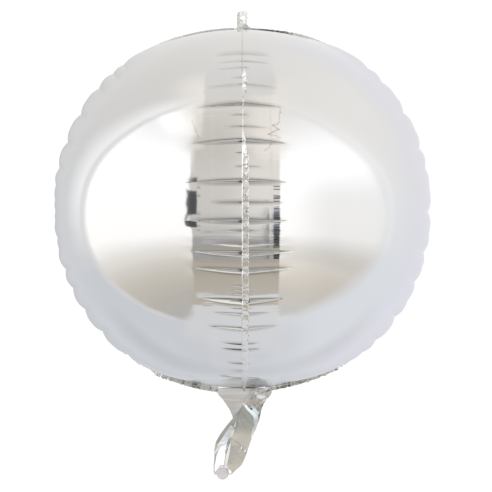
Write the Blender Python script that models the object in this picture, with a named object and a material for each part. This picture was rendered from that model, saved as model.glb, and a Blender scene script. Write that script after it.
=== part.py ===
"""Orb foil balloon: four gores of metallised film sealed edge to edge, a hang tab and a filling tail.

Metres, +Z up, origin at the envelope's centre. The front seam faces -Y and +X is the viewer's right.
Longitude runs from the front seam towards +X, latitude from the equator towards the tab.
"""

import math

import bmesh
import bpy
from mathutils import Vector

MM = 0.001

# Envelope
ENVELOPE_RADIUS = 0.197
TOP_FLATTENING = 0.033
BOTTOM_FLATTENING = 0.021
FILM = 0.001
GAP = 0.0003

# Beside each seam the film is drawn almost flat, in a band that ends in a quick turn into the cheeks.
BAND_EDGE = 10.5
BAND_TURN = 3.2
BAND_FLATNESS = 0.55

# The bottom of the envelope is pinched from front to back, where it runs into the tail.
PINCH_START = -58.0
PINCH_END = -82.7
PINCH_DEPTH = 0.30

# Puckers: the gore edges are too long for the round shape, so each seam is drawn in at these latitudes.
# Columns: latitude in degrees and depth in millimetres, at the front, right, back and left seam.
PUCKERS = (
    (51.9, 0.9, 58.0, 1.0, 57.0, 1.2, 58.9, 1.0),
    (45.0, 0.9, 49.5, 2.0, 49.0, 1.8, 51.9, 2.0),
    (38.0, 1.2, 43.3, 2.6, 41.5, 2.2, 47.7, 2.4),
    (30.9, 2.6, 37.5, 1.2, 34.5, 3.2, 41.3, 3.4),
    (23.6, 1.1, 31.8, 3.6, 27.5, 1.8, 31.4, 3.8),
    (19.3, 3.4, 25.5, 1.4, 21.0, 3.8, 21.7, 4.0),
    (11.8, 1.0, 19.6, 4.0, 14.5, 2.0, 13.2, 3.6),
    (7.7, 3.2, 13.2, 2.8, 8.5, 3.4, 7.6, 2.4),
    (1.8, 1.8, 6.5, 1.4, 2.5, 2.4, 3.0, 1.8),
    (-3.4, 3.4, -0.9, 3.8, -3.5, 3.8, -0.6, 2.2),
    (-12.4, 4.0, -7.5, 1.4, -9.5, 1.8, -3.7, 1.8),
    (-17.4, 3.6, -13.9, 4.0, -15.5, 4.0, -9.2, 2.8),
    (-23.2, 1.0, -18.5, 1.4, -21.5, 2.4, -12.6, 2.8),
    (-26.8, 4.0, -23.5, 3.6, -27.5, 3.8, -19.6, 3.8),
    (-30.9, 1.6, -30.0, 1.6, -33.5, 2.0, -25.9, 3.4),
    (-36.1, 2.4, -36.2, 3.8, -39.5, 3.4, -33.6, 3.6),
    (-44.6, 1.6, -45.5, 3.0, -46.0, 1.8, -42.5, 3.4),
    (-51.5, 1.4, -51.0, 2.0, -52.0, 2.4, -52.9, 2.8),
    (-57.0, 1.2, -57.0, 1.6, -58.5, 1.4, -60.0, 1.8),
)
# A pucker is a V-shaped fold: its shoulders lie this far above and below it, in degrees and in shares of its depth.
SHOULDER_OFFSET = 1.3
SHOULDER_DEPTH = 0.12
LATITUDES_ABOVE = (88.0, 84.0, 77.0, 68.0)
LATITUDES_BELOW = (-66.0, -73.0, -79.0, PINCH_END)

# A pucker fades out this far from its seam, in degrees of longitude.
PUCKER_REACH = 16.0
HALF_COLUMNS = (0.0, 5.0, 11.0, 20.0, 32.0)
GORE_COLUMNS = HALF_COLUMNS + (45.0,) + tuple(90.0 - column for column in reversed(HALF_COLUMNS))

# Seams: the two film edges are sealed into a narrow margin, which lies over to one side.
# Columns: name, longitude, first pucker column, margin width, lowest latitude, and stops of latitude and lean,
# from the top down. A lean is measured from upright, towards growing longitude.
MARGIN_FILM = 0.0008
MARGIN_SEAT = 0.0004
SEAM_TOP_LATITUDE = 86.0
SEAMS = (
    ("seam_front", 0.0, 0, 0.0064, -81.0, ((86.0, 20.0), (25.0, 24.0), (15.0, 74.0), (-50.0, 74.0), (-66.0, 50.0))),
    ("seam_right", 90.0, 2, 0.0052, -79.5, ((74.0, -60.0), (66.0, 48.0), (-54.0, 50.0), (-62.0, -46.0))),
    ("seam_back", 180.0, 4, 0.0060, -81.0, ((86.0, 30.0), (60.0, 60.0), (40.0, 74.0), (-50.0, 74.0), (-66.0, 50.0))),
    ("seam_left", 270.0, 6, 0.0052, -81.0, ((86.0, -50.0), (-60.0, -50.0), (-68.0, 46.0))),
)
GORES = ("gore_front_right", "gore_back_right", "gore_back_left", "gore_front_left")

# Hang tab, narrower at its lower right, and the gathered film that it stands on
TAB_WIDTH = 0.0117
TAB_BOTTOM = 0.1965
TAB_SHOULDER = 0.2050
TAB_NECK_INSET = 0.0018
TAB_TOP = 0.2122
TAB_CORNER = 0.0030
TAB_THICKNESS = 0.0010
TAB_OFFSET = 0.0005
TAB_HOLE_RADIUS = 0.0020
TAB_HOLE_HEIGHT = 0.2048
# Columns: height above the envelope's top, middle's sideways place, half-width and half-depth of the gather.
GATHER_SECTIONS = (
    (0.0003, 0.0022, 0.0122, 0.0095),
    (0.0020, 0.0020, 0.0092, 0.0060),
    (0.0040, 0.0012, 0.0064, 0.0022),
    (0.0057, 0.0006, 0.0056, 0.0011),
)
GATHER_SIDES = 16

# Filling tail: a flat tube of two plies, folded over once at its neck and swung to the viewer's left.
# It leans back below TAIL_LEAN_TOP. Columns, in millimetres but for the share: sideways place and height of
# the left edge and of the right edge; how far forward of the leaning plane the left edge, the long crease and
# the right edge lie; the crease's share of the way across; and how far each ply bulges out.
TAIL_FILM = 0.0008
TAIL_LEAN = 0.2
TAIL_LEAN_TOP = -0.2000
TAIL_SECTIONS = (
    (-27.3, -191.9, 32.7, -191.9, 0.0, 0.0, 0.0, 0.50, 7.2),
    (-25.7, -199.3, 31.4, -198.8, 0.0, 0.0, 0.0, 0.50, 3.0),
    (-21.2, -203.1, 27.3, -202.9, 0.0, 1.0, 0.0, 0.50, 1.2),
    (-17.2, -209.2, 23.4, -208.4, 0.0, 3.5, 0.0, 0.47, 0.5),
    (-13.0, -215.4, 20.7, -215.5, 1.0, 3.5, 0.0, 0.36, 0.3),
    (-9.5, -224.0, 19.0, -224.6, 3.0, 3.0, 0.0, 0.25, 0.3),
    (-17.2, -233.2, 15.7, -233.7, 0.5, 2.5, 0.0, 0.36, 0.3),
    (-23.6, -241.8, 11.8, -242.9, -2.0, 2.0, 0.4, 0.40, 0.3),
    (-28.3, -250.4, 8.4, -251.4, -3.0, 1.0, 1.0, 0.42, 0.0),
    (-29.8, -257.9, 5.7, -259.5, -3.6, 1.0, 1.0, 0.43, 0.0),
    (-29.6, -266.4, 2.7, -268.1, -3.6, 1.0, 1.0, 0.43, 0.0),
    (-30.5, -274.0, -0.8, -275.0, -1.6, 1.0, 1.0, 0.43, 0.5),
    (-30.8, -279.3, -7.0, -280.2, 1.0, 1.0, 1.0, 0.43, 0.8),
    (-29.2, -284.7, -11.6, -285.0, 1.0, 1.0, 1.0, 0.43, 0.8),
)
TAIL_HALF_COLUMNS = 4

# The clear valve film shows as a round end in a notch of the front ply.
VALVE_FILM = 0.0005
VALVE_RADIUS = 0.0064
VALVE_PLACE = (-0.0208, -0.2845)
VALVE_FORWARD = 0.0010
VALVE_SIDES = 28
NOTCH_TOP = -0.2745


def direction(longitude):
    turn = math.radians(longitude)
    return Vector((math.sin(turn), -math.cos(turn), 0.0))


def tangent(longitude):
    turn = math.radians(longitude)
    return Vector((math.cos(turn), math.sin(turn), 0.0))


def smooth(low, high, value):
    share = min(max((value - low) / (high - low), 0.0), 1.0)
    return share * share * (3.0 - 2.0 * share)


def through(stops, value):
    """The value on straight lines through stops of place and value, given from the highest place down."""
    if value >= stops[0][0]:
        return stops[0][1]
    for (above, first), (below, second) in zip(stops, stops[1:]):
        if value >= below:
            return second + (first - second) * (value - below) / (above - below)
    return stops[-1][1]


def band_rise(offset):
    """How far the film stands out from its seam's radius, as a share of it, at an offset from the seam."""
    edge, turn = math.radians(BAND_EDGE), math.radians(BAND_TURN)
    inside = min(math.radians(offset), edge)
    beyond = min(max(math.radians(offset) - edge, 0.0), turn)
    return BAND_FLATNESS * (inside**2 / 2.0 + edge * beyond - edge * beyond**2 / (2.0 * turn))


def skin(longitude, latitude, inset):
    """A point of the envelope's skin, drawn in by inset along the radius."""
    rise = math.sin(math.radians(latitude))
    flattening = TOP_FLATTENING if rise > 0.0 else BOTTOM_FLATTENING
    radius = ENVELOPE_RADIUS - inset
    out = 1.0 + band_rise(abs((longitude + 45.0) % 90.0 - 45.0))
    point = direction(longitude) * radius * out * math.cos(math.radians(latitude))
    point.z = radius * rise * (1.0 - flattening * abs(rise) ** 6)
    pinch = smooth(PINCH_START, PINCH_END, latitude)
    point.y *= 1.0 - (1.0 - PINCH_DEPTH) * pinch
    return point


def seam_rows(column):
    """Latitude and depth of a seam at each row: its puckers with their shoulders, and the ends."""
    rows = [(latitude, 0.0) for latitude in LATITUDES_ABOVE]
    for pucker in PUCKERS:
        latitude, depth = pucker[column], pucker[column + 1] * MM
        rows.append((latitude + SHOULDER_OFFSET, depth * SHOULDER_DEPTH))
        rows.append((latitude, depth))
        rows.append((latitude - SHOULDER_OFFSET, depth * SHOULDER_DEPTH))
    rows.extend((latitude, 0.0) for latitude in LATITUDES_BELOW)
    return rows


def across(latitude, offset):
    """Latitude, at a longitude offset from a seam, of the great circle that crosses the seam squarely."""
    slope = math.tan(math.radians(latitude)) * math.cos(math.radians(offset))
    return math.degrees(math.atan(slope))


def fade(offset):
    """How much of a pucker's depth is left at a longitude offset from its seam."""
    return max(1.0 - offset / PUCKER_REACH, 0.0) ** 1.5


def plain_material(name, color, metallic, roughness, alpha=1.0):
    material = bpy.data.materials.new(name)
    material.use_nodes = True
    shader = material.node_tree.nodes["Principled BSDF"]
    shader.inputs["Base Color"].default_value = (*color, 1.0)
    shader.inputs["Metallic"].default_value = metallic
    shader.inputs["Roughness"].default_value = roughness
    shader.inputs["Alpha"].default_value = alpha
    return material


def add_object(name, points, faces, material):
    mesh = bpy.data.meshes.new(name)
    mesh.from_pydata([tuple(point) for point in points], [], faces)
    solid = bmesh.new()
    solid.from_mesh(mesh)
    bmesh.ops.recalc_face_normals(solid, faces=solid.faces)
    solid.to_mesh(mesh)
    solid.free()
    mesh.shade_smooth()
    mesh.set_sharp_from_angle(angle=math.radians(50.0))
    mesh.materials.append(material)
    made = bpy.data.objects.new(name, mesh)
    bpy.context.scene.collection.objects.link(made)
    return made


def add_sheet(name, outer, inner, material):
    """A closed sheet between two grids of points with the same rows and columns."""
    rows, columns = len(outer), len(outer[0])
    points = [point for grid in (outer, inner) for row in grid for point in row]
    behind = rows * columns

    def at(row, column):
        return row * columns + column

    faces = []
    for row in range(rows - 1):
        for column in range(columns - 1):
            quad = [at(row, column), at(row, column + 1), at(row + 1, column + 1), at(row + 1, column)]
            faces.append(quad)
            faces.append([behind + index for index in reversed(quad)])
    rim = [at(0, column) for column in range(columns)]
    rim += [at(row, columns - 1) for row in range(1, rows)]
    rim += [at(rows - 1, column) for column in range(columns - 2, -1, -1)]
    rim += [at(row, 0) for row in range(rows - 2, 0, -1)]
    for first, second in zip(rim, rim[1:] + rim[:1]):
        faces.append([second, first, behind + first, behind + second])
    return add_object(name, points, faces, material)


def add_loft(name, rings, material):
    """A solid through rings of points, closed by a flat cap at each end."""
    sides = len(rings[0])
    points = [point for ring in rings for point in ring]
    faces = [list(range(sides)), [len(points) - 1 - index for index in range(sides)]]
    for start in range(0, len(points) - sides, sides):
        for side in range(sides):
            after = (side + 1) % sides
            faces.append([start + side, start + after, start + sides + after, start + sides + side])
    return add_object(name, points, faces, material)


def add_gore(name, first_longitude, first_rows, second_rows, material):
    """One film panel between two seams, with the half puckers of both along its edges."""
    grids = []
    for depth_into_film in (0.0, FILM):
        grid = []
        for (first_latitude, first_depth), (second_latitude, second_depth) in zip(first_rows, second_rows):
            row = []
            for offset in GORE_COLUMNS:
                share = smooth(30.0, 60.0, offset)
                latitude = across(first_latitude, offset) * (1.0 - share)
                latitude += across(second_latitude, 90.0 - offset) * share
                inset = first_depth * fade(offset) + second_depth * fade(90.0 - offset)
                point = skin(first_longitude + offset, latitude, inset + depth_into_film)
                if offset == GORE_COLUMNS[0]:
                    point += tangent(first_longitude) * GAP / 2.0
                if offset == GORE_COLUMNS[-1]:
                    point -= tangent(first_longitude + 90.0) * GAP / 2.0
                row.append(point)
            grid.append(row)
        grids.append(grid)
    return add_sheet(name, grids[0], grids[1], material)


def add_seam(name, longitude, rows, width, lowest, leans, material):
    """The sealed margin along one seam, standing on the two gores and leaning over."""
    grids = ([], [])
    for latitude, depth in rows:
        if not lowest <= latitude <= SEAM_TOP_LATITUDE:
            continue
        outward = direction(longitude) * math.cos(math.radians(latitude))
        outward.z = math.sin(math.radians(latitude))
        angle = math.radians(through(leans, latitude))
        along = outward * math.cos(angle) + tangent(longitude) * math.sin(angle)
        flat = outward * math.sin(angle) - tangent(longitude) * math.cos(angle)
        seat = MARGIN_SEAT + MARGIN_FILM / 2.0 * abs(math.sin(angle))
        foot = skin(longitude, latitude, depth) + outward * seat
        for grid, half in zip(grids, (MARGIN_FILM / 2.0, -MARGIN_FILM / 2.0)):
            grid.append([foot + flat * half, foot + along * width + flat * half])
    return add_sheet(name, grids[0], grids[1], material)


def add_hang_tab(material):
    """The flat tab with its punched hole, as a filled curve."""
    curve = bpy.data.curves.new("hang_tab", "CURVE")
    curve.dimensions = "2D"
    curve.fill_mode = "BOTH"
    curve.extrude = TAB_THICKNESS / 2.0
    half = TAB_WIDTH / 2.0
    outline = [(-half, TAB_BOTTOM), (half - TAB_NECK_INSET, TAB_BOTTOM), (half, TAB_SHOULDER)]
    for side, start in ((1.0, 0.0), (-1.0, 90.0)):
        for step in range(5):
            angle = math.radians(start + step * 22.5)
            outline.append(
                (
                    side * (half - TAB_CORNER) + TAB_CORNER * math.cos(angle),
                    TAB_TOP - TAB_CORNER + TAB_CORNER * math.sin(angle),
                )
            )
    hole = []
    for step in range(16):
        angle = -math.tau * step / 16.0
        hole.append((TAB_HOLE_RADIUS * math.cos(angle), TAB_HOLE_HEIGHT + TAB_HOLE_RADIUS * math.sin(angle)))
    for loop in (outline, hole):
        spline = curve.splines.new("POLY")
        spline.points.add(len(loop) - 1)
        for point, (x, z) in zip(spline.points, loop):
            point.co = (x, z, 0.0, 1.0)
        spline.use_cyclic_u = True
    curve.materials.append(material)
    made = bpy.data.objects.new("hang_tab", curve)
    made.location = (TAB_OFFSET, 0.0, 0.0)
    made.rotation_euler = (math.radians(90.0), 0.0, 0.0)
    bpy.context.scene.collection.objects.link(made)
    return made


def add_gather(material):
    """The film ends gathered from the envelope's top into the tab."""
    top = skin(0.0, 90.0, 0.0).z
    rings = []
    for height, middle, half_width, half_depth in GATHER_SECTIONS:
        ring = []
        for side in range(GATHER_SIDES):
            angle = math.tau * side / GATHER_SIDES
            ring.append(Vector((middle + half_width * math.cos(angle), half_depth * math.sin(angle), top + height)))
        rings.append(ring)
    return add_loft("tab_gather", rings, material)


def lean_forward(height):
    """How far forward the tail's leaning plane lies at a height."""
    return TAIL_LEAN * min(height - TAIL_LEAN_TOP, 0.0)


def notched(x, z):
    """A height of the front ply, drawn up so that the ply ends round the valve film."""
    from_middle = abs(x - VALVE_PLACE[0])
    reach = VALVE_RADIUS + GAP
    if z > NOTCH_TOP or from_middle >= reach:
        return z
    edge = VALVE_PLACE[1] + math.sqrt(reach**2 - from_middle**2)
    end = TAIL_SECTIONS[-1][1] * MM
    return NOTCH_TOP + (z - NOTCH_TOP) * (edge - NOTCH_TOP) / (end - NOTCH_TOP)


def add_tail_ply(name, side, material):
    """One ply of the tail: side is 1 for the front one and -1 for the back one."""
    grids = ([], [])
    for section in TAIL_SECTIONS:
        left_x, left_z, right_x, right_z, left, crease, right, crease_share, bulge = section
        shares = [crease_share * step / TAIL_HALF_COLUMNS for step in range(TAIL_HALF_COLUMNS)]
        shares += [crease_share + (1.0 - crease_share) * step / TAIL_HALF_COLUMNS
                   for step in range(TAIL_HALF_COLUMNS + 1)]
        rows = ([], [])
        for number, share in enumerate(shares):
            x = (left_x + (right_x - left_x) * share) * MM
            z = (left_z + (right_z - left_z) * share) * MM
            if number <= TAIL_HALF_COLUMNS:
                folded = left + (crease - left) * number / TAIL_HALF_COLUMNS
            else:
                folded = crease + (right - crease) * (number - TAIL_HALF_COLUMNS) / TAIL_HALF_COLUMNS
            bulged = bulge * (1.0 - (2.0 * share - 1.0) ** 2)
            height = notched(x, z) if side > 0.0 else z
            forward = lean_forward(height) + (folded + side * bulged) * MM
            for row, depth in zip(rows, (GAP / 2.0 + TAIL_FILM, GAP / 2.0)):
                row.append(Vector((x, -(forward + side * depth), height)))
        for grid, row in zip(grids, rows):
            grid.append(row)
    return add_sheet(name, grids[0], grids[1], material)


def add_valve_film(material):
    """The clear self-sealing film between the plies, which shows as the tail's round end."""
    middle_x, middle_z = VALVE_PLACE
    rings = []
    for depth in (VALVE_FILM / 2.0, -VALVE_FILM / 2.0):
        ring = []
        for side in range(VALVE_SIDES):
            angle = math.tau * side / VALVE_SIDES
            x = middle_x + VALVE_RADIUS * math.cos(angle)
            z = middle_z + VALVE_RADIUS * math.sin(angle)
            ring.append(Vector((x, -(lean_forward(z) + VALVE_FORWARD + depth), z)))
        rings.append(ring)
    return add_loft("valve_film", rings, material)


def main():
    for old in list(bpy.data.objects):
        bpy.data.objects.remove(old, do_unlink=True)
    foil = plain_material("foil", (0.86, 0.86, 0.86), 1.0, 0.08)
    margin = plain_material("sealed_margin", (0.78, 0.78, 0.78), 1.0, 0.18)
    clear = plain_material("clear_film", (0.95, 0.95, 0.95), 0.0, 0.12, 0.4)
    seams = [seam_rows(seam[2]) for seam in SEAMS]
    for number, name in enumerate(GORES):
        add_gore(name, SEAMS[number][1], seams[number], seams[(number + 1) % len(seams)], foil)
    for (name, longitude, _, width, lowest, leans), rows in zip(SEAMS, seams):
        add_seam(name, longitude, rows, width, lowest, leans, margin)
    add_hang_tab(margin)
    add_gather(margin)
    add_tail_ply("tail_front_ply", 1.0, foil)
    add_tail_ply("tail_back_ply", -1.0, foil)
    add_valve_film(clear)


main()
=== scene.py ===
import math
from functools import cache, reduce

import bpy
import numpy as np
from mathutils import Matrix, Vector
from numpy import radians


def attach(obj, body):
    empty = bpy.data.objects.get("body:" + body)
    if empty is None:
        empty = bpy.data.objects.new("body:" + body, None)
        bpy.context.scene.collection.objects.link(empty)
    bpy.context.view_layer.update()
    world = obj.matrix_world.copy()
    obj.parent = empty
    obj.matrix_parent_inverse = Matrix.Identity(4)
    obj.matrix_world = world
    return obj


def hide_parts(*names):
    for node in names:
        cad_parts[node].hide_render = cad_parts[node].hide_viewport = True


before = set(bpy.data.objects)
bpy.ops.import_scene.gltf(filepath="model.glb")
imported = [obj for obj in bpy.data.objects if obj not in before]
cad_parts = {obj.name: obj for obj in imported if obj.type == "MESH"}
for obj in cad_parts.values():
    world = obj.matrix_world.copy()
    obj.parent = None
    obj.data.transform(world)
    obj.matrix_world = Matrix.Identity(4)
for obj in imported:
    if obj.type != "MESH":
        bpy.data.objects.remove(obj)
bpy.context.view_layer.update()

MM = 0.001

# Envelope, the same sizes as the solids
RADIUS_MM = 197.0
MM_PER_DEGREE = RADIUS_MM * radians(1.0)
TOP_FLATTENING = 0.033
BOTTOM_FLATTENING = 0.021
PINCH_START = -58.0
PINCH_END = -82.7
PINCH_DEPTH = 0.14
TOP_LATITUDE = 88.0
GAP_MM = 0.3
FILM_MM = 0.3

# Beside each seam the film is drawn almost flat, up to a quick turn into the cheeks.
BAND_EDGE = 11.0
FRONT_LEFT_EDGE = 11.5
FRONT_RIGHT_EDGE = 9.2
BAND_TURN = 3.2
BAND_FLATNESS = 0.55
PILLOW_MM = 0.35
PILLOW_BEYOND = 1.5
PILLOW_SPREAD = 3.0
PILLOW_ENDS = (66.0, 50.0)

# Puckers. Columns: front seam's latitude, depth, half-width, reach to the left and to the right in mm;
# then latitude and depth at the right, back and left seams.
PUCKERS = (
    (51.9, 0.5, 0.9, 26, 28, 58.0, 1.4, 57.0, 1.6, 58.9, 1.4),
    (48.0, 0.6, 0.9, 24, 28, 53.5, 0.8, 53.0, 0.8, 55.0, 0.8),
    (45.0, 0.5, 0.7, 24, 8, 49.5, 3.0, 49.0, 2.4, 51.9, 3.2),
    (40.6, 0.6, 0.7, 12, 7, 46.5, 0.8, 45.0, 0.9, 47.7, 3.6),
    (38.0, 0.7, 0.9, 34, 34, 43.3, 3.6, 41.5, 3.0, 44.5, 1.0),
    (30.9, 2.4, 1.6, 44, 41, 40.0, 0.8, 38.0, 0.8, 41.3, 4.4),
    (27.3, 0.6, 0.7, 14, 6, 37.5, 1.6, 34.5, 4.2, 36.0, 1.0),
    (23.6, 0.8, 0.9, 17, 24, 34.5, 0.8, 31.0, 0.8, 31.4, 4.8),
    (19.3, 3.2, 2.1, 49, 45, 31.8, 4.6, 27.5, 2.4, 26.5, 1.0),
    (15.7, 0.6, 0.7, 7, 6, 25.5, 1.8, 24.0, 0.8, 21.7, 5.0),
    (11.8, 0.6, 0.7, 8, 20, 22.5, 1.0, 21.0, 4.8, 17.5, 0.9),
    (7.7, 3.0, 2.1, 51, 44, 19.6, 5.0, 14.5, 2.6, 13.2, 4.6),
    (1.8, 1.6, 1.1, 30, 40, 16.5, 0.9, 11.5, 0.8, 7.6, 3.0),
    (-3.4, 3.2, 2.1, 51, 44, 13.2, 3.6, 8.5, 4.4, 3.0, 2.4),
    (-6.1, 1.2, 1.0, 18, 16, 9.5, 0.9, 2.5, 3.2, -0.6, 2.8),
    (-10.0, 1.8, 1.8, 25, 28, 6.5, 1.8, -3.5, 4.8, -3.7, 2.4),
    (-12.4, 4.0, 2.9, 48, 49, 2.5, 0.8, -6.5, 0.9, -9.2, 3.6),
    (-17.4, 3.4, 2.6, 46, 49, -0.9, 4.8, -9.5, 2.4, -12.6, 3.6),
    (-22.0, 0.7, 0.8, 12, 10, -7.5, 1.8, -15.5, 5.0, -16.0, 0.9),
    (-23.2, 0.8, 0.9, 12, 11, -13.9, 5.0, -18.5, 0.8, -19.6, 4.8),
    (-24.4, 0.8, 0.9, 12, 11, -18.5, 1.8, -21.5, 3.0, -22.8, 1.0),
    (-26.8, 4.2, 3.2, 42, 42, -23.5, 4.6, -27.5, 4.8, -25.9, 4.4),
    (-29.0, 0.7, 0.8, 12, 11, -27.0, 0.9, -30.5, 0.8, -30.0, 0.8),
    (-30.9, 1.6, 1.3, 27, 25, -30.0, 2.2, -33.5, 2.6, -33.6, 4.6),
    (-36.1, 2.2, 1.8, 34, 35, -36.2, 4.8, -39.5, 4.2, -38.0, 0.8),
    (-42.2, 1.2, 1.2, 20, 16, -41.0, 0.8, -43.0, 0.9, -42.5, 4.4),
    (-44.6, 1.6, 1.3, 21, 18, -45.5, 3.8, -46.0, 2.4, -48.0, 0.9),
    (-51.5, 1.4, 1.3, 15, 8, -51.0, 2.6, -52.0, 3.0, -52.9, 3.6),
    (-55.7, 1.0, 1.1, 13, 5, -57.0, 2.0, -58.5, 1.8, -60.0, 2.2),
)
# At the other seams half-width and reach in mm grow with the depth. The reach is uneven, and shorter towards
# the poles by a power of the latitude's cosine.
LEAST_HALF_WIDTH = 0.5
HALF_WIDTH_BY_DEPTH = 0.36
LEAST_REACH = 6.0
REACH_BY_DEPTH = 15.0
LONGEST_REACH = 54.0
REACH_UNEVENNESS = (0.82, 1.06)
POLE_POWER = 0.4
# A pucker is a narrow V-shaped fold as steep as this, in a broad dip that holds the rest of its depth.
# Its line bends a little further towards the equator than the squarest way across does.
FOLD_STEEPNESS = 1.05
FOLD_SHARE = 0.75
FOLD_ROUNDNESS = 0.12
# The broad dips of each seam, in the order of SEAMS. Columns: half-width in mm, reach as a share of the
# pucker's own, the roundness and power of its fading, and how much deeper it is than what the fold leaves.
SIDE_DIPS = (14.0, 2.0, 2.0, 1.5, 1.55)
DIPS = ((7.0, 1.0, 1.0, 1.1, 1.0), SIDE_DIPS, (13.0, 1.0, 1.0, 1.1, 1.0), SIDE_DIPS)
# The lobes between them stand out. Columns: latitude, then mm beside the right seam and beside the left one.
SWELLS = (
    (-64, 0.0, 0.0), (-56, 0.8, 0.8), (-48, 3.4, 2.0), (-30, 3.8, 2.6), (-12, 3.2, 2.8), (-4, 2.4, 1.6),
    (3, 2.4, 1.6), (9, 2.8, 3.2), (20, 4.2, 3.2), (45, 5.2, 3.6), (58, 4.6, 2.6), (68, 1.2, 0.6),
    (76, 0.0, 0.0))
SWELL_PLACE = 13.0
SWELL_SPREAD = 8.0
# Painted shade along a fold in dark lines, and painted highlights in bright ones. Columns: place as a share
# of its half-width, and strength.
PAINTED_SHADE_LINES = ((1.0, 1.0), (0.0, 0.45), (-1.12, 0.7))
PAINTED_HIGHLIGHT_LINES = ((0.6, 0.9), (-0.75, 0.8))
HIGHLIGHT_FROM_MM = 1.5
CREASE_LINE_MM = 0.6
FULL_DEPTH_MM = 3.0
FAINTEST_LINE = 0.3
# A painted shadow spot at the fold's root on the seam, and the gap that a fold leaves in the pillow beside
# the seam
ROOT_SHADE_MM = 4.2
ROOT_SHADE_SHARE = 0.7
FAINTEST_ROOT_SHADE = 0.65
CUSP_MM = 7.0
BEND = 0.035
BEND_OVER = 14.0
FURTHEST = 60.0
ROW_STEPS = (-1.3, -1.1, -1.0, -0.85, -0.65, -0.4, -0.15, 0.0, 0.15, 0.4, 0.65, 0.85, 1.0, 1.1, 1.3)
ROWS_BETWEEN = 5
ROWS_AT_ENDS = 14
NARROWEST_ROWS = 0.3
HALF_COLUMNS = (0.0, 0.3, 0.7, 1.2, 1.8, 2.6, 3.5, 4.6, 5.9, 7.3, 8.8, 10.3, 11.6, 12.7, 13.7,
                14.8, 16.0, 17.5, 19.5, 22.5, 26.5, 31.5, 38.0)
COLUMNS = HALF_COLUMNS + (45.0,) + tuple(90.0 - column for column in reversed(HALF_COLUMNS))

# Columns: node, longitude, first column in the pucker table, margin's width in mm, and stops of latitude,
# lean from upright and share of the width. Positive leans go towards growing longitude.
SEAMS = (
    ("seam_front", 0.0, 0, 6.4, (
        (90, 14, 0.6), (46, 14, 0.6), (43, 18, 0.7), (39, 74, 0.85), (38.4, 74, 0.8), (37.4, 26, 0.6),
        (36.4, 62, 0.8), (34, 42, 0.7), (31.8, 16, 0.8), (30, 17, 0.5), (22, 18, 0.5), (19.5, 34, 0.8),
        (16.5, 42, 0.95), (15.2, 72, 1.0), (0, 80, 1.0), (-50, 80, 1.0), (-66, 50, 0.8), (-90, 40, 0.6))),
    ("seam_right", 90.0, 5, 5.2, (
        (90, -52, 0.7), (80, -48, 0.8), (72, -36, 0.95), (66, -26, 0.85), (56, -16, 0.8), (45, 24, 0.95),
        (-35, 24, 1.0), (-54, 48, 1.0), (-62, -42, 0.8), (-76, -48, 0.7), (-90, -34, 0.8))),
    ("seam_back", 180.0, 7, 6.0, (
        (90, 30, 0.8), (60, 60, 1.0), (40, 78, 1.0), (-50, 78, 1.0), (-66, 50, 0.6))),
    ("seam_left", 270.0, 9, 5.2, (
        (90, 14, 0.6), (72, 8, 0.6), (62, -20, 0.8), (30, -34, 1.0), (14, -24, 1.0), (0, -30, 1.0),
        (-20, -36, 1.0), (-60, -48, 1.0), (-68, 42, 0.9), (-80, 42, 1.0), (-90, 30, 1.0))),
)
GORES = ("gore_front_right", "gore_back_right", "gore_back_left", "gore_front_left")


def smooth(low, high, value):
    share = np.clip((value - low) / (high - low), 0.0, 1.0)
    return share * share * (3.0 - 2.0 * share)


def outward(longitude, latitude=0.0):
    """Unit vectors from the axis towards a longitude and latitude."""
    longitude, latitude = np.broadcast_arrays(longitude, latitude)
    turn, rise = radians(longitude), radians(latitude)
    return np.stack([np.sin(turn) * np.cos(rise), -np.cos(turn) * np.cos(rise), np.sin(rise)], axis=-1)


def along(longitude):
    """Unit vector towards growing longitude."""
    return np.array([math.cos(radians(longitude)), math.sin(radians(longitude)), 0.0])


def band_edge(longitude):
    """Where the flat band beside the nearest seam ends, in degrees from the seam."""
    from_front = (longitude + 180.0) % 360.0 - 180.0
    front = np.where(from_front > 0.0, FRONT_RIGHT_EDGE, FRONT_LEFT_EDGE)
    return np.where(np.abs(from_front) < 45.0, front, BAND_EDGE)


def band_rise(offset, edge):
    """How far the film stands out at an offset from the seam, as a share of the seam's own radius."""
    edge, turn = radians(edge), radians(BAND_TURN)
    inside = np.minimum(radians(offset), edge)
    beyond = np.clip(radians(offset) - edge, 0.0, turn)
    return BAND_FLATNESS * (inside**2 / 2.0 + edge * beyond - edge * beyond**2 / (2.0 * turn))


def skin(longitude, latitude, inset_mm):
    """Points of the envelope's skin in millimetres, drawn in by inset along the radius."""
    rise = np.sin(radians(latitude))
    flattening = np.where(rise > 0.0, TOP_FLATTENING, BOTTOM_FLATTENING)
    offset = np.abs((longitude + 45.0) % 90.0 - 45.0)
    out = 1.0 + band_rise(offset, band_edge(longitude))
    point = outward(longitude, latitude) * (RADIUS_MM - inset_mm)[..., None]
    point[..., 0] *= out
    point[..., 1] *= out
    point[..., 2] *= 1.0 - flattening * np.abs(rise) ** 6
    pinch = smooth(PINCH_START, PINCH_END, latitude)
    point[..., 1] *= 1.0 - (1.0 - PINCH_DEPTH) * pinch
    return point


def puckers_of(column, to_right, draw):
    """One side of a seam's puckers: latitude, depth, half-width and reach in mm, as arrays."""
    table = np.array(PUCKERS, dtype=float)
    latitude, depth = table[:, column], table[:, column + 1]
    if column == 0:
        return latitude, depth, table[:, 2], table[:, 4 if to_right else 3]
    half_width = LEAST_HALF_WIDTH + HALF_WIDTH_BY_DEPTH * depth
    reach = np.minimum(LEAST_REACH + REACH_BY_DEPTH * depth, LONGEST_REACH)
    reach *= draw.uniform(*REACH_UNEVENNESS, len(depth))
    return latitude, depth, half_width, reach * np.cos(radians(latitude)) ** POLE_POWER


def across_mm(offset, latitude):
    """Distance over the film from the seam, along the great circle that crosses it squarely."""
    return RADIUS_MM * np.arctan(np.tan(radians(offset)) * np.cos(radians(latitude)))


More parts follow.
